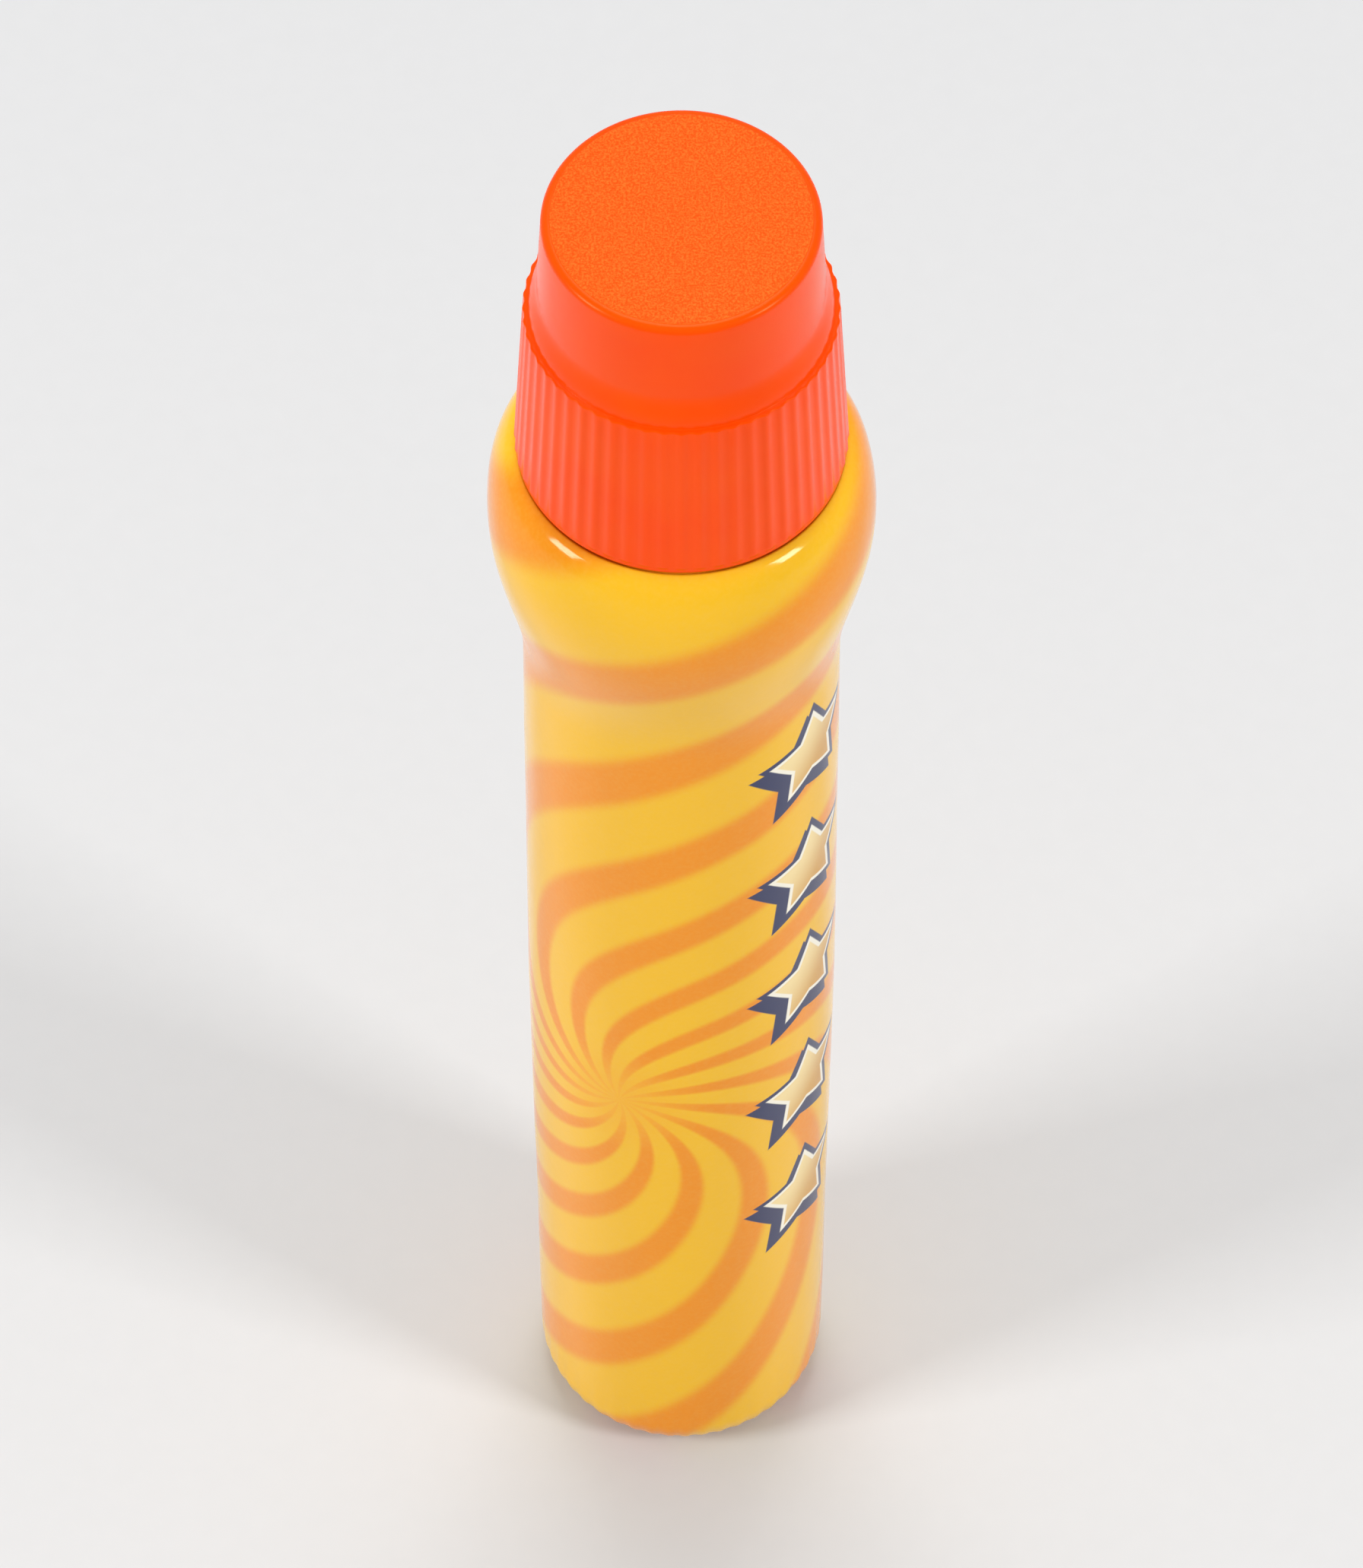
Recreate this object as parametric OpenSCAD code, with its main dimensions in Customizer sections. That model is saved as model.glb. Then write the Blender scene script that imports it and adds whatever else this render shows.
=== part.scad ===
// Bingo dauber: an ink bottle in a printed sleeve, with a sprung foam tip under a screw cap.
// Lengths are millimetres. The dauber stands on its base at z = 0, with +Z up its axis.

/* [Bottle] */
// Diameter of the straight part of the bottle
body_d = 22.8; // [20:0.1:25]
// Diameter of the bottle just above its heel
base_d = 21.6; // [19:0.1:22.8]
// Radius of the rounded heel
heel_r = 4; // [2:0.1:5]
// Height at which the taper up from the base ends
taper_h = 55; // [30:1:75]
// Height at which the body starts to swell
waist_h = 95.5; // [80:0.5:120]
// Rise from the waist to the widest point
swell_h = 17; // [10:0.5:25]
// Diameter at the widest point of the shoulder
bulge_d = 27.7; // [26.4:0.1:32]
// Rise from the widest point to the flat land under the cap
shoulder_h = 6.6; // [4:0.1:10]
// Wall thickness of the bottle
wall = 0.9; // [0.6:0.05:1.5]
// Depth of the hollow in the base
push_h = 1; // [0.4:0.1:2.5]
// Rise of the ink above the waist
ink_rise = 14; // [0:0.5:16]

/* [Label] */
// Thickness of the shrink sleeve
film_t = 0.2; // [0.1:0.05:0.4]
// How far the sleeve wraps under the heel, in degrees
heel_wrap = 50; // [20:1:70]
// How far the sleeve climbs over the shoulder, in degrees
shoulder_wrap = 88; // [40:1:90]

/* [Neck and thread] */
// Outside diameter of the neck
neck_d = 17.9; // [16.5:0.1:19.5]
// Height of the neck above the land
neck_h = 11.6; // [10:0.1:15]
// Wall thickness of the neck
neck_wall = 1.45; // [1:0.05:1.8]
// Number of thread starts
thread_starts = 3; // [2:1:3]
// Distance between neighbouring ridges
thread_pitch = 3.2; // [2.8:0.1:3.6]
// Height of a ridge
thread_depth = 0.8; // [0.5:0.05:1]
// Clearance round the ridges
thread_gap = 0.2; // [0.1:0.05:0.3]

/* [Tip] */
// Height of the tip above its ring
dome_h = 5; // [3.5:0.1:7]
// Thickness of the cloth over the foam
cloth_t = 0.4; // [0.2:0.05:0.8]
// Depth of the holder's cup
cup_h = 1.4; // [1:0.1:2.5]
// Wall thickness of the holder's cup
cup_wall = 0.6; // [0.4:0.05:1]
// Thickness of the holder's floor
disc_t = 0.9; // [0.6:0.1:1.5]
// Wall thickness of the collar round the tip
collar_wall = 0.75; // [0.5:0.05:1]
// Wall thickness of the ring on the collar
ring_wall = 0.6; // [0.4:0.05:0.9]
// Thickness of the ring's lip
lip_t = 0.9; // [0.6:0.1:1.5]
// Width left on the flange for the cap's seal
seal_seat = 0.65; // [0.5:0.05:1]

/* [Valve] */
// How far the tip pushes the valve open
press = 2.2; // [1:0.1:2.8]
// Diameter of the valve stem
stem_d = 2.8; // [2.2:0.1:3.2]
// Diameter of the ink port in the deck
port_d = 5.2; // [4.4:0.1:6]
// Thickness of the flange and deck
flange_t = 1.2; // [0.8:0.1:2]
// Height of the raised valve seat
seat_h = 0.6; // [0.3:0.1:1]
// Width of the raised valve seat
seat_w = 0.6; // [0.4:0.1:0.8]
// Wall thickness of the housing
housing_wall = 1; // [0.7:0.05:1.3]
// Thickness of the rubber washer
washer_t = 1; // [0.6:0.1:1.6]
// Thickness of the valve plate under the washer
plate_t = 1.2; // [0.8:0.1:2]
// Length of the fitted spring
spring_len = 6; // [5:0.1:9]
// Wire diameter of the spring
wire_d = 0.5; // [0.3:0.05:0.6]
// Number of coils
coils = 5; // [3:0.5:5]
// Thickness of the cage floor
floor_t = 1; // [0.7:0.1:1.6]

/* [Cap] */
// Wall thickness of the cap
cap_wall = 1.2; // [0.9:0.05:1.8]
// Thickness of the cap's top
top_t = 1.4; // [1:0.1:2.5]
// Room left over the tip inside the cap
head_gap = 1.8; // [0.6:0.1:3]
// Radius of the edge round the top
edge_r = 0.55; // [0.2:0.05:1]
// Inward draft of the crown, from its foot to the top
crown_draft = 0.3; // [0:0.05:0.8]
// Height of the sloped step under the crown
slope_h = 3; // [1.5:0.1:4]
// Distance from the seal ledge up to the foot of the step
step_rise = 2.2; // [1:0.1:3]
// Outward flare of the skirt, from the step to the lower edge
flare = 0.75; // [0.2:0.05:1.2]
// Number of grip ribs
ribs = 56; // [36:1:72]
// Height of a grip rib
rib_h = 0.15; // [0.1:0.05:0.35]
// Thickness of the seal ring
seal_t = 1.2; // [0.8:0.1:2]

/* [Fits] */
// Clearance of pieces that are fixed together
fixed_gap = 0.05; // [0.02:0.01:0.1]
// Radial clearance of the sliding stem in its guide
run_gap = 0.06; // [0.03:0.01:0.1]
// Radial clearance of the tip in its collar
slide_gap = 0.3; // [0.2:0.05:0.5]
// Clearance under the cap's lower edge
foot_gap = 0.4; // [0.2:0.05:1]

/* [Hidden] */
$fn = 96;

// Heights up the bottle
bulge_z = waist_h + swell_h;
land_z = bulge_z + shoulder_h;
rim_z = land_z + neck_h;
deck_z = rim_z + flange_t;

// Thread
neck_r = neck_d / 2;
bore_r = neck_r - neck_wall;
lead = thread_starts * thread_pitch;
ridge_root_w = 0.6 * thread_pitch;
ridge_crest_w = 0.3 * thread_pitch;
ridge_run = neck_h - 2.1 * thread_pitch;
ridge_z = land_z + 1.25 * thread_pitch;
cap_bore_r = neck_r + thread_depth + thread_gap;

// Tip housing
flange_r = neck_r - fixed_gap;
plug_r = bore_r - fixed_gap;
plug_in_r = plug_r - housing_wall;
ring_r = flange_r - seal_seat - fixed_gap;
collar_r = ring_r - ring_wall - fixed_gap;
collar_in_r = collar_r - collar_wall;
port_r = port_d / 2;

// Valve, from the seat downwards
seat_r = port_r + seat_w / 2;
seat_z = rim_z - seat_h;
plate_z = seat_z - washer_t - plate_t;
plate_r = seat_r + seat_w + 0.8;
floor_z = plate_z - spring_len;
stem_r = stem_d / 2;
pin_r = stem_r - 0.4;
guide_r = stem_r + run_gap;
boss_r = guide_r + 0.7;
boss_h = (spring_len - press) / 4;
cage_r = plug_in_r - fixed_gap;
cage_wall = 0.8;
cage_h = 0.55 * spring_len;
coil_r = boss_r + 0.35 + wire_d;
snap_h = 0.2;

// Tip, from the deck upwards
head_r = collar_in_r - slide_gap;
head_z = deck_z + press + 0.3;
cup_z = head_z + disc_t;
cup_rim_z = cup_z + cup_h;
ring_top_z = cup_rim_z + 0.6;
collar_z = ring_top_z - lip_t;
tip_z = ring_top_z + dome_h;
foam_r = head_r - cup_wall - cloth_t - 2 * fixed_gap;
cloth_z = cup_rim_z + fixed_gap;

// Cap
cap_foot_z = land_z + foot_gap;
ledge_z = deck_z + seal_t;
cap_in_z = tip_z + head_gap;
cap_z = cap_in_z + top_t;
crown_in_r = ring_r + 0.8;
crown_r = crown_in_r + cap_wall;
top_r = crown_r - crown_draft;
step_r = cap_bore_r + cap_wall;
skirt_r = step_r + flare;
step_z = ledge_z + step_rise;
land_r = skirt_r - 0.25;

// Points of an elliptic arc round [r, z], from angle a to angle b.
function arc(r, z, rr, rz, a, b, n = 10) =
    [for (i = [0:n]) let (t = a + (b - a) * i / n) [r + rr * cos(t), z + rz * sin(t)]];

// Points of a smooth S from [r0, z0] to [r1, z1], upright at both ends.
function swell(r0, z0, r1, z1, n = 14) =
    [for (i = [0:n]) let (t = i / n) [r0 + (r1 - r0) * (1 - cos(180 * t)) / 2, z0 + (z1 - z0) * t]];

// The bottle's side at a depth below its surface, from one heel angle to one shoulder angle.
function side(depth, from, to) =
    concat(arc(base_d / 2 - heel_r, heel_r, heel_r - depth, heel_r - depth, -from, 0),
           [[body_d / 2 - depth, taper_h]],
           swell(body_d / 2 - depth, waist_h, bulge_d / 2 - depth, bulge_z),
           arc(land_r - depth, bulge_z, bulge_d / 2 - land_r, shoulder_h - depth, 6, to, 12));

// The hollowed base at a depth below its surface.
function underside(depth) =
    let (foot = base_d / 2 - heel_r)
    [[0, push_h + depth], [foot - 3, push_h + depth], [foot - 1.5, depth]];

function reverse(p) = [for (i = [len(p) - 1:-1:0]) p[i]];

module lathe(points) {
    rotate_extrude()
        polygon(points);
}

module annulus(out_r, in_r, z, h) {
    lathe([[in_r, z], [out_r, z], [out_r, z + h], [in_r, z + h]]);
}

// A ring of equal upright holes to cut from a plate.
module holes(n, pitch_r, r, z, h) {
    for (i = [0:n - 1])
        rotate([0, 0, i * 360 / n])
            translate([pitch_r, 0, z])
                cylinder(r = r, h = h, $fn = 24);
}

// A helical ridge between two radii that fades out at both ends.
module ridge(root_r, crest_r, z, turns) {
    n = 26;
    outward = crest_r > root_r;
    pts = [for (i = [0:n])
               let (t = i / n,
                    fade = max(0.1, min(1, 5 * t, 5 * (1 - t))),
                    tip_r = root_r + (crest_r - root_r) * fade)
               for (p = [[root_r, -ridge_root_w], [tip_r, -ridge_crest_w],
                         [tip_r, ridge_crest_w], [root_r, ridge_root_w]])
                   [p[0] * cos(360 * turns * t), p[0] * sin(360 * turns * t), z + lead * turns * t + p[1] / 2]];
    sides = [for (i = [0:n - 1], k = [0:3])
                 let (a = 4 * i + k, b = 4 * i + (k + 1) % 4)
                 each [[a, b, a + 4], [b, b + 4, a + 4]]];
    faces = concat([[0, 2, 1], [0, 3, 2]], sides,
                   [[4 * n, 4 * n + 1, 4 * n + 2], [4 * n, 4 * n + 2, 4 * n + 3]]);
    polyhedron(points = pts, faces = outward ? faces : [for (f = faces) reverse(f)]);
}

module thread(root_r, crest_r, z) {
    for (i = [0:thread_starts - 1])
        rotate([0, 0, i * 360 / thread_starts])
            ridge(root_r, crest_r, z, ridge_run / lead);
}

module bottle() {
    color("gold") {
        lathe(concat(underside(0), side(0, 90, 90),
                     [[neck_r, land_z], [neck_r, rim_z], [bore_r, rim_z]],
                     [[bore_r, land_z - wall]],
                     reverse(side(wall, 90, 90)), reverse(underside(wall))));
        thread(neck_r - 0.4, neck_r + thread_depth, ridge_z);
    }
}

module label_sleeve() {
    color("orange")
        lathe(concat(side(-film_t, heel_wrap, shoulder_wrap), reverse(side(0, heel_wrap, shoulder_wrap))));
}

module ink_fill() {
    depth = wall + fixed_gap;
    color("darkorange")
        intersection() {
            lathe(concat(underside(depth), side(depth, 90, 90), [[0, land_z - depth]]));
            cylinder(r = bulge_d, h = waist_h + ink_rise);
        }
}

module tip_housing() {
    snap_z = floor_z + cage_h / 2;
    color("white")
        lathe([[port_r, deck_z], [collar_in_r, deck_z], [collar_in_r, collar_z], [collar_r, collar_z],
               [collar_r, deck_z], [flange_r, deck_z], [flange_r, rim_z], [plug_r, rim_z],
               [plug_r, floor_z + 0.6], [plug_r - 0.4, floor_z], [plug_in_r, floor_z],
               [plug_in_r, snap_z - 2 * snap_h], [plug_in_r + snap_h, snap_z], [plug_in_r, snap_z + 2 * snap_h],
               [plug_in_r, rim_z], [seat_r + seat_w, rim_z], [seat_r + seat_w, seat_z], [seat_r, seat_z],
               [seat_r, rim_z], [port_r, rim_z]]);
}

module spring_cage() {
    snap_z = floor_z + cage_h / 2;
    port = (cage_r - cage_wall - coil_r - wire_d / 2 - 0.4) / 2;
    color("white")
        difference() {
            lathe([[guide_r, floor_z - floor_t], [plug_r - 0.4, floor_z - floor_t], [plug_r - 0.4, floor_z],
                   [cage_r, floor_z], [cage_r, snap_z - 2 * snap_h], [cage_r + snap_h, snap_z],
                   [cage_r, snap_z + 2 * snap_h], [cage_r, floor_z + cage_h],
                   [cage_r - cage_wall, floor_z + cage_h], [cage_r - cage_wall, floor_z], [boss_r, floor_z],
                   [boss_r, floor_z + boss_h], [guide_r, floor_z + boss_h]]);
            holes(6, cage_r - cage_wall - port - 0.2, port, floor_z - floor_t - 1, floor_t + 2);
        }
}

module valve_spring() {
    per_coil = 16;
    sides = 6;
    n = per_coil * coils;
    low = floor_z + wire_d / 2 + fixed_gap;
    rise = spring_len - wire_d - 3 * fixed_gap;
    pts = [for (i = [0:n], k = [0:sides - 1])
               let (a = 360 * i / per_coil, b = 360 * k / sides, r = coil_r + wire_d / 2 * cos(b))
               [r * cos(a), r * sin(a), low + rise * i / n + wire_d / 2 * sin(b)]];
    skin = [for (i = [0:n - 1], k = [0:sides - 1])
                let (a = sides * i + k, b = sides * i + (k + 1) % sides)
                each [[a, b, a + sides], [b, b + sides, a + sides]]];
    caps = [for (k = [1:sides - 2]) each [[0, k + 1, k], [sides * n, sides * n + k, sides * n + k + 1]]];
    echo(least_gap_between_coils = rise / coils - wire_d);
    color("silver")
        polyhedron(points = pts, faces = concat(skin, caps));
}

module valve_stem() {
    color("ivory")
        lathe([[0, floor_z - floor_t - 0.6], [stem_r - 0.3, floor_z - floor_t - 0.6],
               [stem_r, floor_z - floor_t - 0.3], [stem_r, plate_z - boss_h], [boss_r, plate_z - boss_h],
               [boss_r, plate_z], [plate_r, plate_z], [plate_r, plate_z + plate_t],
               [stem_r, plate_z + plate_t], [stem_r, head_z], [pin_r, head_z], [pin_r, cup_z], [0, cup_z]]);
}

module valve_washer() {
    color("dimgray")
        annulus(plate_r - 0.2, stem_r + fixed_gap, plate_z + plate_t, washer_t);
}

module foam_holder() {
    inner_r = head_r - cup_wall;
    color("ivory")
        difference() {
            lathe([[pin_r + fixed_gap, head_z], [head_r - 0.3, head_z], [head_r, head_z + 0.3],
                   [head_r, cup_rim_z], [inner_r, cup_rim_z], [inner_r, cup_z], [pin_r + fixed_gap, cup_z]]);
            holes(5, (stem_r + inner_r) / 2, (inner_r - stem_r) / 4, head_z - 1, disc_t + 2);
        }
}

module tip_foam() {
    neck_z = cloth_z + cloth_t + fixed_gap;
    color("lightyellow")
        lathe(concat([[0, cup_z], [foam_r, cup_z], [foam_r, neck_z]],
                     arc(0, neck_z, head_r - cloth_t - fixed_gap, tip_z - cloth_t - fixed_gap - neck_z, 0, 90)));
}

module tip_cloth() {
    tuck_r = foam_r + fixed_gap;
    neck_z = cloth_z + cloth_t;
    color("ivory")
        lathe(concat([[tuck_r, cup_z], [tuck_r + cloth_t, cup_z], [tuck_r + cloth_t, cloth_z]],
                     arc(0, cloth_z, head_r, tip_z - cloth_z, 0, 90),
                     arc(0, neck_z, head_r - cloth_t, tip_z - cloth_t - neck_z, 90, 0),
                     [[tuck_r, neck_z]]));
}

module tip_ring() {
    in_r = collar_r + fixed_gap;
    lip_z = collar_z + fixed_gap;
    color("white")
        lathe([[in_r, deck_z], [ring_r, deck_z], [ring_r, ring_top_z - 0.4], [ring_r - 0.4, ring_top_z],
               [collar_in_r + 0.2, ring_top_z], [collar_in_r, ring_top_z - 0.2], [collar_in_r, lip_z], [in_r, lip_z]]);
}

module cap_seal() {
    color("whitesmoke")
        annulus(cap_bore_r - thread_gap, ring_r + 0.15, deck_z, seal_t);
}

// One grip rib, lying up the flared skirt.
module rib() {
    low_z = cap_foot_z + 0.5;
    lean = atan2(flare, step_z - cap_foot_z);
    r = 0.4;
    translate([skirt_r - r + rib_h - flare * 0.5 / (step_z - cap_foot_z), 0, low_z])
        rotate([0, -lean, 0])
            cylinder(r = r, h = (step_z - low_z) / cos(lean), $fn = 24);
}

module cap() {
    color("orangered") {
        lathe(concat([[cap_bore_r + 0.3, cap_foot_z], [skirt_r - 0.2, cap_foot_z], [skirt_r, cap_foot_z + 0.2]],
                     swell(step_r, step_z, crown_r, step_z + slope_h),
                     arc(top_r - edge_r, cap_z - edge_r, edge_r, edge_r, 0, 90, 6),
                     [[0, cap_z], [0, cap_in_z], [crown_in_r - 0.4, cap_in_z], [crown_in_r, cap_in_z - 0.4],
                      [crown_in_r, ledge_z], [cap_bore_r, ledge_z], [cap_bore_r, cap_foot_z + 0.3]]));
        thread(cap_bore_r + 0.4, cap_bore_r - thread_depth, ridge_z - thread_pitch / 2);
        for (i = [0:ribs - 1])
            rotate([0, 0, i * 360 / ribs])
                rib();
    }
}

bottle();
label_sleeve();
ink_fill();
tip_housing();
spring_cage();
valve_spring();
valve_stem();
valve_washer();
foam_holder();
tip_foam();
tip_cloth();
tip_ring();
cap_seal();
cap();
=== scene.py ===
import math

import bpy
import numpy as np
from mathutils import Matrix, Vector


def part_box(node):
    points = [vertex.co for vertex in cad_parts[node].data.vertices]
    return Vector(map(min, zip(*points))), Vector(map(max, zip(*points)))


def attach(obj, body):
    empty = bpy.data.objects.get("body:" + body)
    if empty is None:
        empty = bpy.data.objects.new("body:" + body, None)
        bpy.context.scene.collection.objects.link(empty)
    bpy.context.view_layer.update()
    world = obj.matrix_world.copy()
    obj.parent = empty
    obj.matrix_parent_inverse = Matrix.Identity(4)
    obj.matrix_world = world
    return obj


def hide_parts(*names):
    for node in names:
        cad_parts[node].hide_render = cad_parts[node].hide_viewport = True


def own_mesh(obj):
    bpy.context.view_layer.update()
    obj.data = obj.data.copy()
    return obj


# Bingo dauber: the meshes and finishes of its pieces, a plain studio and the camera.
# Sizes are millimetres in the dauber's own frame, with +Z up its axis and -Y towards the viewer.
# The studio and the camera are in metres.
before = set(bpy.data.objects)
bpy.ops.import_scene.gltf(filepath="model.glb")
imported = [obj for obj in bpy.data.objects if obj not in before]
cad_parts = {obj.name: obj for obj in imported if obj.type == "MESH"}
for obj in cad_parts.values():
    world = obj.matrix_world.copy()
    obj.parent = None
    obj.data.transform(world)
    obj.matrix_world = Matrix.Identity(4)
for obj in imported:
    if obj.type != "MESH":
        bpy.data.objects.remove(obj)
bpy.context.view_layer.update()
MM = 0.001


def node_box(node):
    """A solid's lowest and highest corner, in millimetres."""
    low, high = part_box(node)
    return low / MM, high / MM


# Bottle and sleeve
sleeve_high = node_box("label_sleeve")[1]
FILM = 0.2
BULGE_R = sleeve_high.x - FILM
BODY_R = 11.4
BASE_R = 10.8
HEEL_R = 4
STAND_W = 1.5
TAPER_Z = 55
WAIST_Z = 95.5
BULGE_Z = 112.5
LAND_R = 11.65
WALL = 0.9
PUSH_UP = 1
HEEL_WRAP = 50
SHOULDER_WRAP = 88
SHOULDER_START = 4
LAND_Z = sleeve_high.z - FILM
SKIN = 0.02

# Neck and thread
RIM_Z = node_box("bottle")[1].z
NECK_R = 8.95
NECK_FILLET = 0.4
RIM_R = 0.2
BORE_R = 7.5
STARTS = 3
PITCH = 3.2
LEAD = STARTS * PITCH
THREAD_DEPTH = 0.8
THREAD_ROOT = 0.8
THREAD_CREST = 0.48
SPARE_PITCHES = 2.1
START_PITCHES = 1.25
THREAD_TURNS = (RIM_Z - LAND_Z - SPARE_PITCHES * PITCH) / LEAD
THREAD_Z = LAND_Z + START_PITCHES * PITCH
THREAD_FADE = 0.2

# Tip
ring_low, ring_high = node_box("tip_ring")
cloth_low, cloth_high = node_box("tip_cloth")
foam_low, foam_high = node_box("tip_foam")
RING_R = ring_high.x
RING_BORE = 7.6
RING_EDGE = 0.6
RING_CHAMFER = 0.15
LIP_R = 6.8
LIP_EDGE = 0.3
LIP_H = 0.85
LIP_Z = ring_high.z - LIP_H
CLOTH = 0.4
CLOTH_R = cloth_high.x
CLOTH_Z = 136.75
TUCK_R = 5.45
FOAM_CHAMFER = 0.2
WEAVE = 0.5
WEAVE_H = 0.05
WEAVE_ROOM = 0.04
WEAVE_EYE = 0.3
GAP = 0.05

# Spring
spring_low, spring_high = node_box("valve_spring")
WIRE = 0.5
COILS = 5
COIL_STEPS = 40
WIRE_SIDES = 14
END_COILS = 0.045

# Cap
cap_low, cap_high = node_box("cap")
RIBS = 56
RIB_H = 0.11
RIB_POWER = 1.3
RIB_STEPS = 12
RIB_LOW = 0.45
RIB_FULL = 0.8
RIB_END = 0.04
SKIRT_R = 11.9
FOOT_R = 0.3
STEP_R = 11.15
STEP_Z = 135.3
STEP_EDGE = 0.16
LEDGE = 0.28
SLOPE_H = 3
CROWN_R = 10.2
TOP_R = 9.9
EDGE_R = 0.55
RIM_SLOPE = math.radians(8)
RIM_LAND = 0.18
FROST_R = TOP_R - EDGE_R * (1 - math.sin(RIM_SLOPE)) - RIM_LAND
FROST_EDGE = 0.05
TOP_CROWN = 0.01
CAP_BORE = 9.95
CROWN_BORE = 9
CROWN_FILLET = 0.4
SEAL_Z = node_box("cap_seal")[1].z
SEAL_CHAMFER = 0.1
CAP_TOP = 1.4
CAP_IN_Z = cap_high.z - CAP_TOP


# Outlines, whose counts are the rows of points along each stretch

def arc(r, z, rr, rz, start, end, n):
    """Points of an elliptic arc round (r, z), from one angle to another, in degrees."""
    turns = np.radians(np.linspace(start, end, n + 1))
    return [(r + rr * math.cos(t), z + rz * math.sin(t)) for t in turns]


def swell(r0, z0, r1, z1, n):
    """Points of a smooth S between two points, upright at both ends."""
    steps = np.linspace(0, 1, n + 1)
    return [(r0 + (r1 - r0) * (1 - math.cos(math.pi * t)) / 2, z0 + (z1 - z0) * t) for t in steps]


def line(r0, z0, r1, z1, n):
    """Points of a straight stretch, without its last one."""
    return [(r0 + (r1 - r0) * i / n, z0 + (z1 - z0) * i / n) for i in range(n)]


def side(out, heel, shoulder, fine=1):
    """The bottle's side, a distance outside its surface, between a heel and a shoulder angle."""
    body = BODY_R + out
    heel_arc = arc(BASE_R - HEEL_R, HEEL_R, HEEL_R + out, HEEL_R + out, -heel, 0, 6 * fine)
    shoulder_arc = arc(LAND_R, BULGE_Z, BULGE_R - LAND_R + out, LAND_Z - BULGE_Z + out,
                       SHOULDER_START, shoulder, 10 * fine)
    return (heel_arc[:-1]
            + line(BASE_R + out, HEEL_R, body, TAPER_Z, 9 * fine)
            + line(body, TAPER_Z, body, WAIST_Z, 8 * fine)
            + swell(body, WAIST_Z, BULGE_R + out, BULGE_Z, 10 * fine)
            + shoulder_arc)


def underside(up):
    """The hollowed base, a distance above its surface, from the middle out to the ring it stands on."""
    edge = BASE_R - HEEL_R - STAND_W
    return [(0, PUSH_UP + up), (edge - 1.5, PUSH_UP + up), (edge - 1, 0.9 * PUSH_UP + up),
            (edge - 0.4, 0.1 * PUSH_UP + up), (edge, up)]


# Meshes

def turned(name, profile, segments, relief=None, closed=False):
    """A piece turned round Z from (r, z) points, with relief(angle, r, z) giving the radius at each.
    Angle 0 faces the viewer and grows to the right. A point on the axis becomes a pole."""
    rows = np.array(profile, float)
    angle = np.linspace(-math.pi, math.pi, segments, endpoint=False)[None, :]
    r = rows[:, :1] + 0 * angle
    z = rows[:, 1:] + 0 * angle
    if relief:
        r = relief(angle, r, z)
    x = r * np.sin(angle)
    y = -r * np.cos(angle)
    rings = []
    points = []
    for i, (row_r, row_z) in enumerate(rows):
        if row_r == 0:
            rings.append([len(points)] * segments)
            points.append((0, 0, row_z * MM))
        else:
            rings.append(list(range(len(points), len(points) + segments)))
            points.extend(zip(x[i] * MM, y[i] * MM, z[i] * MM))
    lengths = np.hypot(*np.diff(np.vstack([rows, rows[:1]]), axis=0).T)
    up = np.concatenate([[0], np.cumsum(lengths)])
    up /= up[-1] if closed else up[-2]
    faces = []
    places = []
    for i in range(len(rows) if closed else len(rows) - 1):
        low = rings[i]
        high = rings[(i + 1) % len(rows)]
        for j in range(segments):
            k = (j + 1) % segments
            corners = {low[j]: (j, i), low[k]: (j + 1, i), high[k]: (j + 1, i + 1), high[j]: (j, i + 1)}
            faces.append(tuple(corners))
            places.extend((u / segments, up[v]) for u, v in corners.values())
    return made(name, points, faces, places)


def made(name, points, faces, places=None):
    """A smooth mesh object, with a map of its own for a turned piece."""
    mesh = bpy.data.meshes.new(name)
    mesh.from_pydata(points, [], faces)
    if places:
        layer = mesh.uv_layers.new(name="OFBake")
        layer.data.foreach_set("uv", np.array(places, np.float32).ravel())
    mesh.polygons.foreach_set("use_smooth", [True] * len(mesh.polygons))
    mesh.update()
    piece = bpy.data.objects.new(name, mesh)
    bpy.context.scene.collection.objects.link(piece)
    return piece


def dress(piece, material, body, node):
    """Gives a piece its finish and its body, and hides the solid that it stands for."""
    piece.data.materials.append(material)
    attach(piece, body)
    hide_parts(node)
    return piece


def ease(value, low, high):
    """0 below low, 1 above high and smooth between."""
    t = np.clip((value - low) / (high - low), 0, 1)
    return t * t * (3 - 2 * t)


def ridge(angle, z, start_z):
    """Height of the thread's ridges, from 0 to 1, at an angle and a height."""
    height = 0 * z
    for start in range(STARTS):
        turn = ((angle - math.pi / 2) / (2 * math.pi) - start / STARTS) % 1
        along = turn / THREAD_TURNS
        fade = np.clip(np.minimum(along, 1 - along) / THREAD_FADE, 0, 1)
        off = np.abs(z - start_z - LEAD * turn)
        height = np.maximum(height, fade * (1 - ease(off, THREAD_CREST, THREAD_ROOT)))
    return height


# Materials

def srgb(red, green, blue):
    """A colour as a picture shows it, 0 to 255, as linear red, green, blue and alpha."""
    parts = [c / 255 for c in (red, green, blue)]
    return [c / 12.92 if c <= 0.04045 else ((c + 0.055) / 1.055) ** 2.4 for c in parts] + [1]


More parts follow.
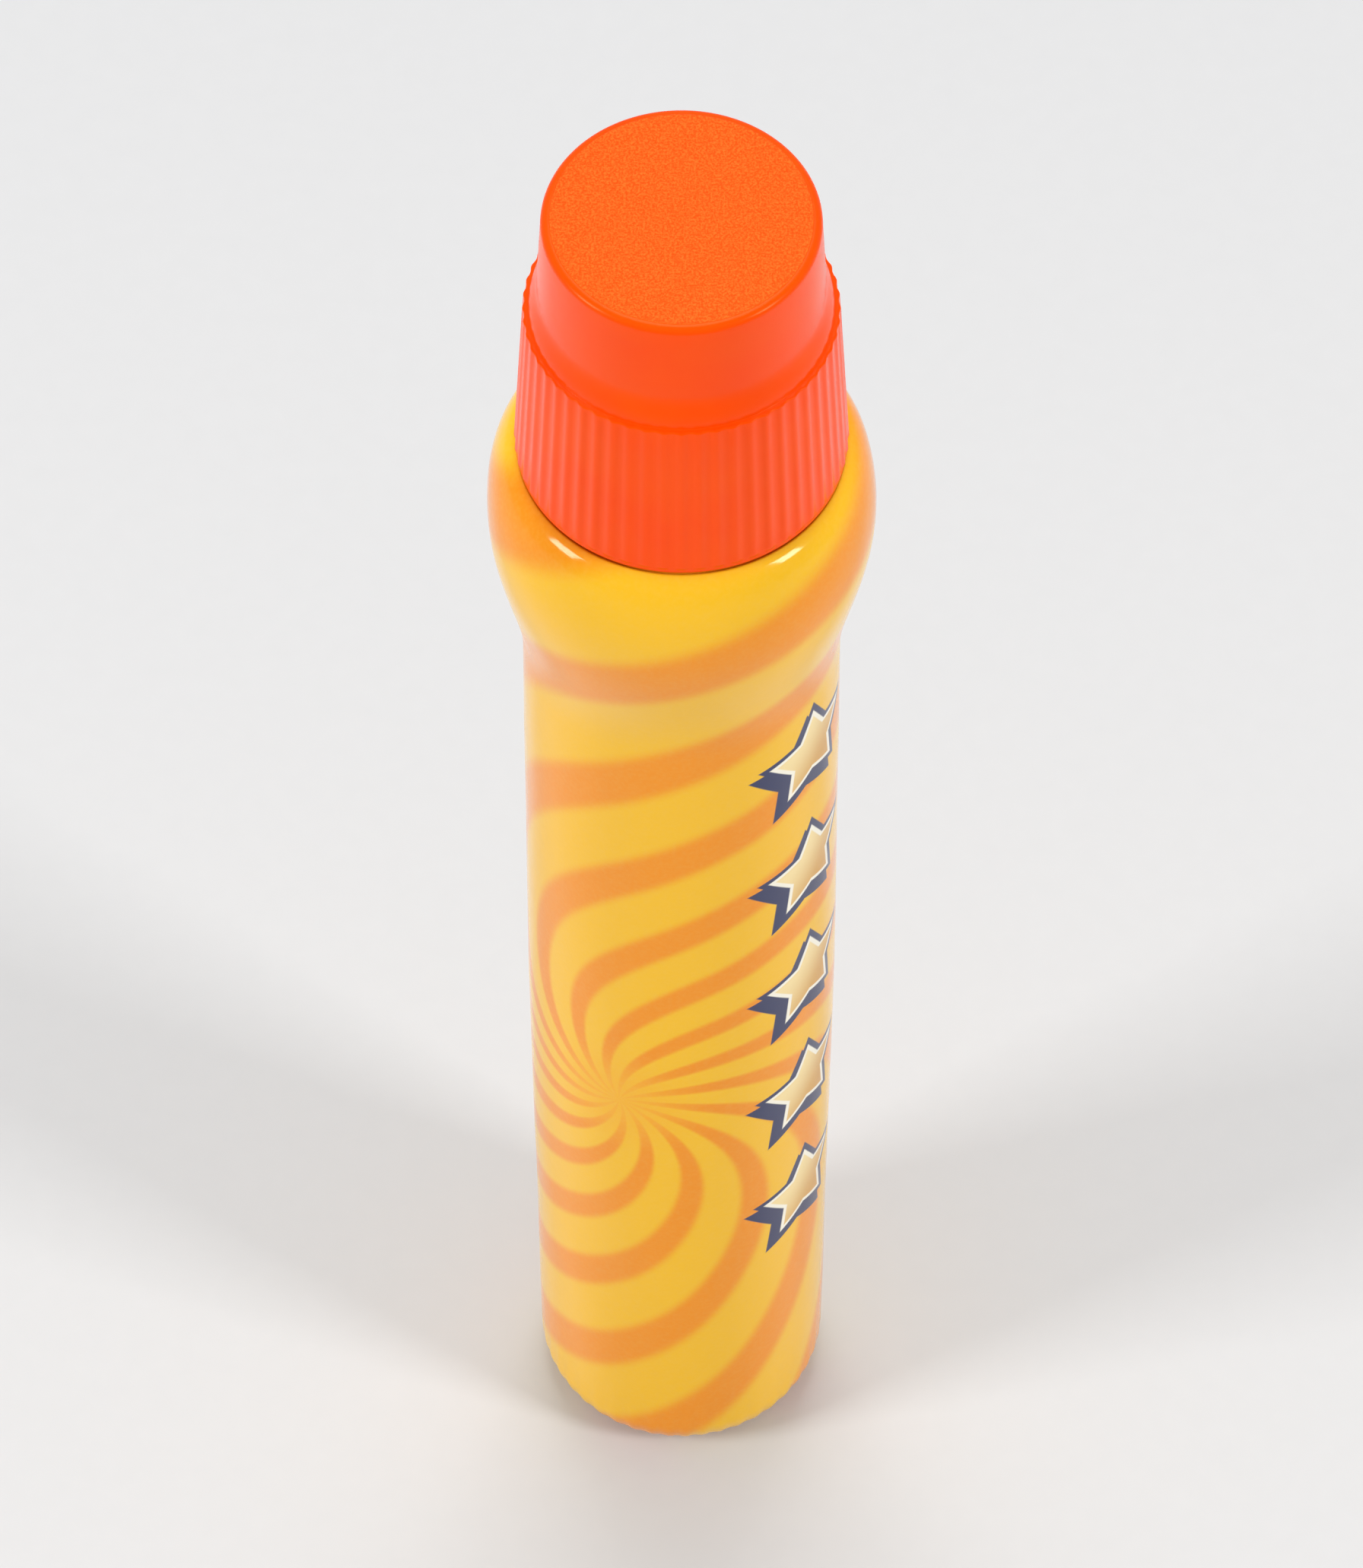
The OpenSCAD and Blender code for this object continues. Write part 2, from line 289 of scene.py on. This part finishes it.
class Finish:
    """A material, with short ways to add the nodes that the finishes below share."""

    def __init__(self, name, **constants):
        self.material = bpy.data.materials.new(name)
        self.material.use_nodes = True
        self.tree = self.material.node_tree
        self.shader = self.tree.nodes["Principled BSDF"]
        self.place = self.tree.nodes.new("ShaderNodeTexCoord").outputs["Object"]
        self.look(**constants)

    def set(self, node, values):
        """Links a socket, or sets its value."""
        for key, value in values.items():
            if isinstance(value, bpy.types.NodeSocket):
                self.tree.links.new(value, node.inputs[key])
            else:
                node.inputs[key].default_value = value

    def look(self, **values):
        """Sets the shader's own inputs."""
        self.set(self.shader, {key.replace("_", " "): value for key, value in values.items()})

    def node(self, kind, values, **options):
        """A new node with its inputs and options."""
        node = self.tree.nodes.new("ShaderNode" + kind)
        for key, value in options.items():
            setattr(node, key, value)
        self.set(node, values)
        return node

    def math(self, operation, *values):
        """One step of arithmetic."""
        return self.node("Math", dict(enumerate(values)), operation=operation).outputs[0]

    def distance(self, across, up):
        """Length of the way that two values make at a right angle."""
        squares = [self.math("MULTIPLY", value, value) for value in (across, up)]
        return self.math("SQRT", self.math("ADD", *squares))

    def ramp(self, value, low, high, to_low=0, to_high=1):
        """A smooth step from one value to another."""
        values = {"Value": value, "From Min": low, "From Max": high, "To Min": to_low, "To Max": to_high}
        return self.node("MapRange", values, interpolation_type="SMOOTHSTEP").outputs[0]

    def mix(self, share, first, second):
        """A colour between two others."""
        return self.node("Mix", {0: share, 6: first, 7: second}, data_type="RGBA").outputs[2]

    def noise(self, size, detail=2, rough=0.5):
        """Noise whose blotches are about size millimetres wide."""
        values = {"Vector": self.place, "Scale": 1 / (size * MM), "Detail": detail, "Roughness": rough}
        return self.node("TexNoise", values).outputs["Fac"]

    def bump(self, height, depth, strength=1.0, under=None):
        """A normal from a height between 0 and 1 that stands for a depth in millimetres."""
        values = {"Height": height, "Distance": depth * MM, "Strength": strength}
        if under:
            values["Normal"] = under
        return self.node("Bump", values).outputs[0]

    def axes(self):
        """x, y and z on the piece, in metres."""
        return self.node("SeparateXYZ", {0: self.place}).outputs


def cap_finish():
    """Bright moulded plastic, glossy on its sides and frosted on its flat top, whose colour is painted
    lighter and paler as a sheen, with painted glints in its grain.
    """
    finish = Finish("cap_plastic", IOR=1.49, Specular_IOR_Level=0.28, Specular_Tint=(1, 0.42, 0.16, 1),
                    Subsurface_Weight=0.1, Subsurface_Scale=0.001, Subsurface_Radius=(1.6, 0.5, 0.15))
    x, y, z = finish.axes()
    on_top = finish.ramp(z, (cap_high.z - 0.3) * MM, (cap_high.z - 0.15) * MM)
    on_disc = finish.ramp(finish.distance(x, y), (FROST_R + FROST_EDGE) * MM, (FROST_R - FROST_EDGE) * MM)
    frost = finish.math("MULTIPLY", on_top, on_disc)
    cloud = finish.noise(size=6, detail=3)
    grain = finish.noise(size=0.17, detail=3, rough=0.7)
    side_colour = finish.mix(cloud, srgb(255, 68, 0), srgb(255, 84, 3))
    # Painted sheen: the frosted top is coloured lighter and paler than the sides, and the pale specks of its
    # grain are painted glints.
    frost_sheen_colour = finish.mix(finish.ramp(grain, 0.38, 0.68), srgb(255, 76, 4), srgb(255, 112, 36))
    roughness = finish.ramp(frost, 0, 1, to_low=0.2, to_high=0.48)
    wave = finish.bump(finish.noise(size=1.8, detail=1), depth=0.008)
    finish.look(Base_Color=finish.mix(frost, side_colour, frost_sheen_colour),
                Roughness=finish.math("ADD", roughness, finish.math("MULTIPLY", cloud, 0.08)),
                Normal=finish.bump(finish.math("MULTIPLY", grain, frost), depth=0.05, under=wave))
    return finish.material


LABEL_R = BODY_R + FILM
SWIRL_ANGLE = math.radians(-24)
SWIRL_Z = 50
SWIRL_EYE = 50
SWIRL_ARMS = 15
SWIRL_TWIST = 2.85
STAR_ANGLE = math.radians(56)
STAR_R = 5.8
STAR_WAIST = 3.1
STAR_PITCH = 14.6
STAR_LOW = 32
STARS = 5
STAR_SHADE = 0.8
STAR_OUTLINE = 0.5
STAR_BORDER = 0.35
PRINT_EDGE = 0.06
EDGE_STRIP = 0.45
STRIP_EDGE = 0.1


def star_level(finish, right, above):
    """Distance outside the edge of a five-pointed star, negative inside it."""
    fifth = math.pi / 5
    reach = finish.distance(right, above)
    turn = finish.math("ABSOLUTE", finish.math("WRAP", finish.math("ARCTAN2", right, above), fifth, -fifth))
    along = finish.math("MULTIPLY", reach, finish.math("COSINE", turn))
    out = finish.math("MULTIPLY", reach, finish.math("SINE", turn))
    edge = Vector((STAR_WAIST * math.cos(fifth) - STAR_R, STAR_WAIST * math.sin(fifth))).normalized()
    return finish.math("ADD", finish.math("MULTIPLY", finish.math("SUBTRACT", along, STAR_R), edge.y),
                       finish.math("MULTIPLY", out, -edge.x))


def swirl_print(finish, angle, height):
    """Gold with orange bands that wind about a point."""
    right = finish.math("MULTIPLY", finish.math("SUBTRACT", angle, SWIRL_ANGLE), LABEL_R)
    above = finish.math("SUBTRACT", height, SWIRL_Z)
    reach = finish.distance(right, above)
    wound = finish.math("LOGARITHM", finish.math("ADD", reach, SWIRL_EYE), math.e)
    arm = finish.math("SUBTRACT", finish.math("ARCTAN2", right, above),
                      finish.math("MULTIPLY", wound, SWIRL_TWIST))
    wave = finish.math("SINE", finish.math("MULTIPLY", arm, SWIRL_ARMS))
    bands = finish.mix(finish.ramp(wave, -0.2, 0.75), srgb(247, 190, 30), srgb(243, 146, 12))
    colour = finish.mix(finish.ramp(reach, 8, 1, to_high=0.8), bands, srgb(248, 180, 28))
    mottle = finish.ramp(finish.noise(size=0.35), 0.3, 0.8, to_high=0.08)
    return finish.mix(mottle, colour, srgb(255, 214, 110))


def star_print(finish, angle, height, colour):
    """Two columns of gilt stars with a navy outline and shade, over a colour."""
    half_turn = finish.math("WRAP", finish.math("SUBTRACT", angle, STAR_ANGLE), math.pi / 2, -math.pi / 2)
    right = finish.math("MULTIPLY", half_turn, LABEL_R)
    up = finish.math("SUBTRACT", height, STAR_LOW - STAR_PITCH / 2)
    in_column = finish.math("MULTIPLY", finish.math("GREATER_THAN", up, 0),
                            finish.math("LESS_THAN", up, STARS * STAR_PITCH))
    above = finish.math("SUBTRACT", finish.math("MODULO", up, STAR_PITCH), STAR_PITCH / 2)
    star = star_level(finish, right, above)
    shade = star_level(finish, finish.math("ADD", right, STAR_SHADE), finish.math("ADD", above, STAR_SHADE))
    navy = srgb(44, 52, 92)
    cream = srgb(250, 244, 226)
    gilt = finish.mix(finish.ramp(finish.math("SUBTRACT", above, right), -4, 4),
                      srgb(214, 158, 70), srgb(247, 222, 160))
    layers = ((shade, 0, navy), (star, 0, navy), (star, -STAR_OUTLINE, cream),
              (star, -STAR_OUTLINE - STAR_BORDER, gilt))
    for level, edge, ink in layers:
        inside = finish.math("MULTIPLY", finish.ramp(level, edge + PRINT_EDGE, edge - PRINT_EDGE), in_column)
        colour = finish.mix(inside, colour, ink)
    return colour


def film_finish():
    """Glossy printed film, with an unprinted strip along the edge of its lap."""
    finish = Finish("label_film", IOR=1.54, Specular_IOR_Level=0.3, Specular_Tint=(1, 0.9, 0.7, 1))
    x, y, z = finish.axes()
    angle = finish.math("ARCTAN2", x, finish.math("MULTIPLY", y, -1))
    height = finish.math("MULTIPLY", z, 1 / MM)
    colour = star_print(finish, angle, height, swirl_print(finish, angle, height))
    unprinted = finish.ramp(angle, math.pi - (EDGE_STRIP + STRIP_EDGE) / LABEL_R,
                            math.pi - (EDGE_STRIP - STRIP_EDGE) / LABEL_R)
    finish.look(Base_Color=finish.mix(unprinted, colour, srgb(250, 232, 190)),
                Roughness=finish.ramp(finish.noise(size=3), 0.25, 0.75, to_low=0.1, to_high=0.16),
                Normal=finish.bump(finish.noise(size=2.6), depth=0.03, strength=0.6))
    return finish.material


def moulded_finish(name, dark, light, roughness, grain, depth, **constants):
    """Moulded plastic or rubber with a faint cloud in its colour and a fine grain."""
    finish = Finish(name, **constants)
    cloud = finish.noise(size=4, detail=3)
    finish.look(Base_Color=finish.mix(cloud, dark, light),
                Roughness=finish.ramp(cloud, 0.2, 0.8, to_low=roughness, to_high=roughness + 0.1),
                Normal=finish.bump(finish.noise(grain, detail=3), depth))
    return finish.material


def foam_finish():
    """Open foam wet with ink, with painted shade in its pores."""
    cell = 0.45
    finish = Finish("tip_foam_finish", Subsurface_Weight=0.1, Subsurface_Scale=0.001)
    cells = finish.node("TexVoronoi", {"Vector": finish.place, "Scale": 1 / (cell * MM)}).outputs["Distance"]
    # Painted shade: each cell is darker towards its middle, where the bump sinks it into a pore.
    finish.look(Base_Color=finish.mix(cells, srgb(150, 50, 6), srgb(246, 128, 40)),
                Roughness=finish.ramp(cells, 0, 1, to_low=0.7, to_high=0.9),
                Normal=finish.bump(cells, depth=0.2))
    return finish.material


def cloth_finish():
    """Woven cloth that ink has soaked, with painted shade along the lines between its threads."""
    finish = Finish("tip_fabric", Sheen_Weight=0.25, Sheen_Roughness=0.5)
    x, y, z = finish.axes()
    radius = finish.distance(x, y)
    above = finish.math("MULTIPLY", finish.math("SUBTRACT", z, CLOTH_Z * MM),
                        CLOTH_R / (cloth_high.z - CLOTH_Z))
    bent = finish.math("ARCTAN2", radius, above)
    spread = finish.math("DIVIDE", finish.math("MULTIPLY", bent, math.pi * CLOTH_R / WEAVE),
                         finish.math("MAXIMUM", radius, 0.01 * MM))
    over = finish.math("MULTIPLY", finish.math("SINE", finish.math("MULTIPLY", x, spread)),
                       finish.math("SINE", finish.math("MULTIPLY", y, spread)))
    thread = finish.ramp(finish.math("ABSOLUTE", over), 0, 0.8)
    soak = finish.noise(size=3, detail=3)
    fibre = finish.noise(size=0.12, detail=3, rough=0.7)
    # Painted shade: the colour is darker along the lines between the threads.
    woven_painted_shade = finish.mix(thread, srgb(178, 52, 4), srgb(250, 108, 22))
    finish.look(Base_Color=finish.mix(finish.ramp(soak, 0.3, 0.8, to_high=0.5), woven_painted_shade, srgb(214, 70, 6)),
                Roughness=finish.ramp(fibre, 0.2, 0.8, to_low=0.65, to_high=0.9),
                Normal=finish.bump(fibre, depth=0.05))
    return finish.material


def steel_finish():
    """Drawn spring wire."""
    finish = Finish("spring_steel", Metallic=1)
    drawn = finish.noise(size=0.4, detail=3)
    finish.look(Base_Color=finish.mix(drawn, srgb(150, 152, 156), srgb(206, 207, 210)),
                Roughness=finish.ramp(drawn, 0.2, 0.8, to_low=0.22, to_high=0.4),
                Normal=finish.bump(finish.noise(size=0.15), depth=0.01))
    return finish.material


bottle_plastic = moulded_finish("bottle_plastic", srgb(232, 150, 20), srgb(246, 172, 34),
                                roughness=0.22, grain=0.8, depth=0.01,
                                Subsurface_Weight=0.1, Subsurface_Scale=0.001)
fitment_plastic = moulded_finish("fitment_plastic", srgb(228, 228, 222), srgb(238, 238, 233),
                                 roughness=0.32, grain=0.5, depth=0.015,
                                 Subsurface_Weight=0.1, Subsurface_Scale=0.001)
valve_plastic = moulded_finish("valve_plastic", srgb(226, 222, 204), srgb(238, 234, 218),
                               roughness=0.35, grain=0.5, depth=0.015)
seal_plastic = moulded_finish("seal_plastic", srgb(226, 226, 222), srgb(240, 240, 237),
                              roughness=0.45, grain=0.3, depth=0.02)
washer_rubber = moulded_finish("washer_rubber", srgb(26, 26, 27), srgb(40, 40, 41),
                               roughness=0.55, grain=0.25, depth=0.02)
ink_liquid = moulded_finish("ink", srgb(196, 48, 2), srgb(226, 74, 6), roughness=0.06, grain=3, depth=0.005)


# Cap

foot_z = cap_low.z
top_z = cap_high.z
ledge_r = STEP_R - LEDGE
rim_z = top_z - TOP_CROWN - RIM_LAND * math.tan(RIM_SLOPE) - EDGE_R * math.cos(RIM_SLOPE)


def cap_relief(angle, r, z):
    """Ribs on the skirt and thread ridges in the bore."""
    rib = RIB_H * (0.5 + 0.5 * np.cos(angle * RIBS)) ** RIB_POWER
    rib = rib * ease(z, foot_z + RIB_LOW, foot_z + RIB_FULL) * (1 - ease(z, STEP_Z - RIB_END, STEP_Z))
    groove = THREAD_DEPTH * ridge(angle, z, THREAD_Z - PITCH / 2)
    skirt = r > CROWN_R + 0.5
    bore = (np.abs(r - CAP_BORE) < GAP) & (z < SEAL_Z - GAP)
    return r + np.where(skirt, rib, 0) - np.where(bore, groove, 0)


# From the middle of the top's inside, down the bore, up the ribbed skirt and crown, to the middle of the disc
cap_inside = (
    [(0, CAP_IN_Z), (4, CAP_IN_Z)]
    + arc(CROWN_BORE - CROWN_FILLET, CAP_IN_Z - CROWN_FILLET, CROWN_FILLET, CROWN_FILLET, 90, 0, 4)
    + [(CROWN_BORE, SEAL_Z + 2 * SEAL_CHAMFER), (CROWN_BORE + SEAL_CHAMFER, SEAL_Z),
       (CAP_BORE - SEAL_CHAMFER, SEAL_Z), (CAP_BORE, SEAL_Z - SEAL_CHAMFER)]
    + line(CAP_BORE, SEAL_Z - 0.3, CAP_BORE, foot_z + 0.3, 66)
    + [(CAP_BORE, foot_z + 0.3), (CAP_BORE + 0.12, foot_z + 0.1), (CAP_BORE + 0.35, foot_z)])
cap_skirt = (
    arc(SKIRT_R - FOOT_R, foot_z + FOOT_R, FOOT_R, FOOT_R, -90, 0, 5)
    + line(SKIRT_R - 0.01, foot_z + 0.4, SKIRT_R - 0.02, foot_z + 0.85, 5)
    + line(SKIRT_R - 0.03, foot_z + 0.9, STEP_R, STEP_Z - STEP_EDGE, 6)
    + arc(STEP_R - STEP_EDGE, STEP_Z - STEP_EDGE, STEP_EDGE, STEP_EDGE, 0, 83, 6))
cap_crown = (
    [(ledge_r, STEP_Z + 0.016), (ledge_r - 0.04, STEP_Z + 0.03)]
    + swell(ledge_r - 0.05, STEP_Z + 0.07, CROWN_R, STEP_Z + SLOPE_H, 12)
    + line(CROWN_R - 0.01, STEP_Z + SLOPE_H + 0.3, TOP_R, rim_z, 4)
    + arc(TOP_R - EDGE_R, rim_z, EDGE_R, EDGE_R, 0, 90 - math.degrees(RIM_SLOPE), 8))
cap_disc = [(FROST_R, top_z - TOP_CROWN), (FROST_R - 0.1, top_z - 0.8 * TOP_CROWN),
            (6, top_z - 0.4 * TOP_CROWN), (3, top_z - 0.1 * TOP_CROWN), (0, top_z)]
cap_profile = cap_inside + cap_skirt + cap_crown + cap_disc
cap_shell = turned("cap_shell", cap_profile, segments=RIBS * RIB_STEPS, relief=cap_relief)
dress(cap_shell, cap_finish(), "cap", "cap")


# Label sleeve

SEAM_WIDTH = 6
SEAM_STEP = 0.1
SEAM_EDGE = 0.5
WAVES = 7
WAVE_H = 0.01
CRIMPS = 46
CRIMP_H = 0.05
CRIMP_LOW = 1.5
CRIMP_HIGH = 6
CRIMP_GROUPS = 5
CRIMP_DRIFT = 0.6
CALM_H = 3
rng = np.random.default_rng(7)
waves_around = rng.integers(2, 9, WAVES)
wave_rises = rng.uniform(-0.35, 0.35, WAVES)
wave_phases = rng.uniform(0, 6.28, WAVES)


def film_relief(angle, r, z):
    """Faint waves in the shrunk film, crimps at its lower edge and the edge of its lap down the back."""
    waves = zip(waves_around, wave_rises, wave_phases)
    wave = WAVE_H * sum(np.sin(around * angle + rise * z + phase) for around, rise, phase in waves)
    crimps = np.sin(CRIMPS * angle + CRIMP_DRIFT * np.sin(CRIMP_GROUPS * angle))
    crimp = CRIMP_H * crimps * (1 - ease(z, CRIMP_LOW, CRIMP_HIGH))
    back = math.pi * LABEL_R
    lap = SEAM_STEP * ease(angle * LABEL_R, back - SEAM_WIDTH, back - SEAM_EDGE)
    calm = 1 - ease(z, LAND_Z - CALM_H, LAND_Z)
    return r + (wave + crimp + lap) * calm


sleeve_profile = side(FILM, HEEL_WRAP, SHOULDER_WRAP, fine=2) + side(SKIN, HEEL_WRAP, SHOULDER_WRAP)[::-1]
sleeve_film = turned("sleeve_film", sleeve_profile, segments=320, relief=film_relief, closed=True)
dress(sleeve_film, film_finish(), "bottle", "label_sleeve")


# Bottle

def neck_relief(angle, r, z):
    """Thread ridges round the neck."""
    neck = (np.abs(r - NECK_R) < GAP) & (z > LAND_Z)
    return r + np.where(neck, THREAD_DEPTH * ridge(angle, z, THREAD_Z), 0)


bottle_profile = (
    underside(0)
    + side(-SKIN, 88, 90)
    + arc(NECK_R + NECK_FILLET, LAND_Z + NECK_FILLET, NECK_FILLET, NECK_FILLET, 270, 180, 4)
    + line(NECK_R, LAND_Z + 0.5, NECK_R, RIM_Z - 0.3, 110)
    + arc(NECK_R - RIM_R, RIM_Z - RIM_R, RIM_R, RIM_R, 0, 90, 3)
    + [(BORE_R + RIM_R, RIM_Z), (BORE_R, RIM_Z - RIM_R), (BORE_R, LAND_Z - WALL)]
    + side(-WALL, 88, 90)[::-1]
    + underside(WALL)[::-1])
bottle_body = turned("bottle_body", bottle_profile, segments=360, relief=neck_relief)
dress(bottle_body, bottle_plastic, "bottle", "bottle")


# Tip

ring_profile = (
    [(RING_BORE, ring_low.z), (RING_R - RING_CHAMFER, ring_low.z), (RING_R, ring_low.z + RING_CHAMFER)]
    + arc(RING_R - RING_EDGE, ring_high.z - RING_EDGE, RING_EDGE, RING_EDGE, 0, 90, 8)
    + arc(LIP_R + LIP_EDGE, ring_high.z - LIP_EDGE, LIP_EDGE, LIP_EDGE, 90, 180, 5)
    + [(LIP_R, LIP_Z), (RING_BORE, LIP_Z)])
tip_ring = turned("tip_ring_turned", ring_profile, segments=160, closed=True)
dress(tip_ring, fitment_plastic, "bottle", "tip_ring")

cloth_neck_z = CLOTH_Z + CLOTH
foam_r = TUCK_R - GAP
foam_z = foam_low.z
foam_neck_z = cloth_neck_z + GAP
foam_profile = (
    [(0, foam_z), (foam_r - FOAM_CHAMFER, foam_z), (foam_r, foam_z + FOAM_CHAMFER), (foam_r, foam_neck_z)]
    + arc(0, foam_neck_z, foam_high.x, foam_high.z - foam_neck_z, 0, 84, 12)
    + [(0, foam_high.z)])
foam_pad = turned("foam_pad", foam_profile, segments=120)
dress(foam_pad, foam_finish(), "valve", "tip_foam")


def weave_relief(angle, r, z):
    """Raised threads over the dome, crossing on a square grid."""
    above = (z - CLOTH_Z) * CLOTH_R / (cloth_high.z - CLOTH_Z)
    spread = math.pi / WEAVE * CLOTH_R * np.arctan2(r, above)
    over = np.sin(spread * np.sin(angle)) * np.sin(spread * np.cos(angle))
    return r + np.where((z > cloth_neck_z) & (r > WEAVE_EYE), WEAVE_H * over, 0)


tuck_out_r = TUCK_R + CLOTH
cloth_profile = (
    [(0, cloth_high.z - CLOTH)]
    + arc(0, cloth_neck_z, CLOTH_R - CLOTH, cloth_high.z - CLOTH - cloth_neck_z, 86, 0, 16)
    + [(TUCK_R, cloth_neck_z), (TUCK_R, cloth_low.z), (tuck_out_r, cloth_low.z), (tuck_out_r, CLOTH_Z)]
    + arc(0, CLOTH_Z, CLOTH_R - WEAVE_ROOM, cloth_high.z - CLOTH_Z, 0, 88, 70)
    + [(0, cloth_high.z)])
cloth_cover = turned("cloth_cover", cloth_profile, segments=260, relief=weave_relief)
dress(cloth_cover, cloth_finish(), "valve", "tip_cloth")


# Spring

spring_length = spring_high.z - spring_low.z


def spring_coil():
    """A helix of round wire whose end coils lie closer."""
    steps = COILS * COIL_STEPS
    wire_r = WIRE / 2
    coil_r = spring_high.x - wire_r
    points = []
    for i in range(steps + 1):
        share = i / steps
        turn = 2 * math.pi * COILS * share
        eased = share - END_COILS * math.sin(4 * math.pi * share)
        wire_z = spring_low.z + wire_r + (spring_length - WIRE) * eased
        for k in range(WIRE_SIDES):
            around = 2 * math.pi * k / WIRE_SIDES
            r = coil_r + wire_r * math.cos(around)
            z = wire_z + wire_r * math.sin(around)
            points.append((r * math.cos(turn) * MM, r * math.sin(turn) * MM, z * MM))
    faces = []
    for i in range(steps):
        low = WIRE_SIDES * i
        high = low + WIRE_SIDES
        for k in range(WIRE_SIDES):
            after = (k + 1) % WIRE_SIDES
            faces.append((low + k, high + k, high + after, low + after))
    last = WIRE_SIDES * steps
    faces.append(tuple(range(WIRE_SIDES)))
    faces.append(tuple(range(last + WIRE_SIDES - 1, last - 1, -1)))
    return made("spring_coil", points, faces)


spring = dress(spring_coil(), steel_finish(), "bottle", "valve_spring")
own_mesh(spring)


# Pieces kept as solids

kept_finishes = {"ink_fill": ink_liquid, "tip_housing": fitment_plastic, "spring_cage": fitment_plastic,
                 "valve_stem": valve_plastic, "valve_washer": washer_rubber, "foam_holder": valve_plastic,
                 "cap_seal": seal_plastic}
for node, material in kept_finishes.items():
    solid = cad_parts[node]
    solid.data.materials.clear()
    solid.data.materials.append(material)


# Studio

FLOOR_R = 0.85
FLOOR_PLAIN_R = 0.28
FLOOR_SIDES = 64
FLOOR_TINT = 0.64
PALE = 0.82
FILL_LIGHT = 0.48
LAMP_AIM = Vector((0, 0, 0.08))


def floor_finish():
    """Matt pale card that fades out into the pale surround."""
    finish = Finish("floor_card")
    x, y, _ = finish.axes()
    tooth = finish.noise(size=2, detail=3)
    dark, light = FLOOR_TINT - 0.01, FLOOR_TINT + 0.01
    finish.look(Base_Color=finish.mix(tooth, (dark, dark, dark, 1), (light, light, light, 1)),
                Roughness=finish.ramp(tooth, 0, 1, to_low=0.85, to_high=0.95),
                Alpha=finish.ramp(finish.distance(x, y), FLOOR_PLAIN_R, FLOOR_R, to_low=1, to_high=0))
    return finish.material


floor_turns = np.linspace(0, 2 * math.pi, FLOOR_SIDES, endpoint=False)
floor_rim = [(FLOOR_R * math.cos(t), FLOOR_R * math.sin(t), 0) for t in floor_turns]
floor = made("floor", floor_rim, [tuple(range(FLOOR_SIDES))])
floor.data.materials.append(floor_finish())

# The surround looks pale to the camera, and lights the dauber less strongly
world = bpy.data.worlds.new("studio")
world.use_nodes = True
world_tree = world.node_tree
surround = world_tree.nodes["Background"]
surround.inputs["Color"].default_value = (0.97, 0.98, 1, 1)
path = world_tree.nodes.new("ShaderNodeLightPath")
seen = world_tree.nodes.new("ShaderNodeMath")
seen.operation = "MAXIMUM"
world_tree.links.new(path.outputs["Is Camera Ray"], seen.inputs[0])
world_tree.links.new(path.outputs["Is Transmission Ray"], seen.inputs[1])
strength = world_tree.nodes.new("ShaderNodeMapRange")
strength.inputs["To Min"].default_value = FILL_LIGHT
strength.inputs["To Max"].default_value = PALE
world_tree.links.new(seen.outputs[0], strength.inputs["Value"])
world_tree.links.new(strength.outputs[0], surround.inputs["Strength"])
bpy.context.scene.world = world


def soft_box(name, place, width, height, power):
    """A rectangular lamp that faces the dauber, in metres and watts."""
    lamp = bpy.data.lights.new(name, "AREA")
    lamp.shape = "RECTANGLE"
    lamp.size = width
    lamp.size_y = height
    lamp.energy = power
    holder = bpy.data.objects.new(name, lamp)
    holder.location = place
    holder.rotation_mode = "QUATERNION"
    holder.rotation_quaternion = (LAMP_AIM - Vector(place)).to_track_quat("-Z", "Y")
    bpy.context.scene.collection.objects.link(holder)


soft_box("overhead", place=(0, 0.38, 0.97), width=0.45, height=0.45, power=4.2)
soft_box("left_key", place=(-0.7, -0.28, 0.48), width=0.22, height=0.3, power=3.8)
soft_box("right_key", place=(0.64, -0.34, 0.53), width=0.18, height=0.28, power=3.4)


# Camera

ELEVATION = math.radians(52.5)
CAMERA_REACH = 0.89
CAMERA_AIM = Vector((0, 0, 0.0765))
SENSOR_W = 36
LENS = 292
cap_top = Vector((0, 0, cap_high.z * MM))
camera = bpy.data.objects.new("camera", bpy.data.cameras.new("camera"))
camera.data.sensor_width = SENSOR_W
camera.data.lens = LENS
camera.location = cap_top + CAMERA_REACH * Vector((0, -math.cos(ELEVATION), math.sin(ELEVATION)))
camera.rotation_mode = "QUATERNION"
camera.rotation_quaternion = (CAMERA_AIM - camera.location).to_track_quat("-Z", "Y")
bpy.context.scene.collection.objects.link(camera)
bpy.context.scene.camera = camera
bpy.context.scene.view_settings.view_transform = "Standard"
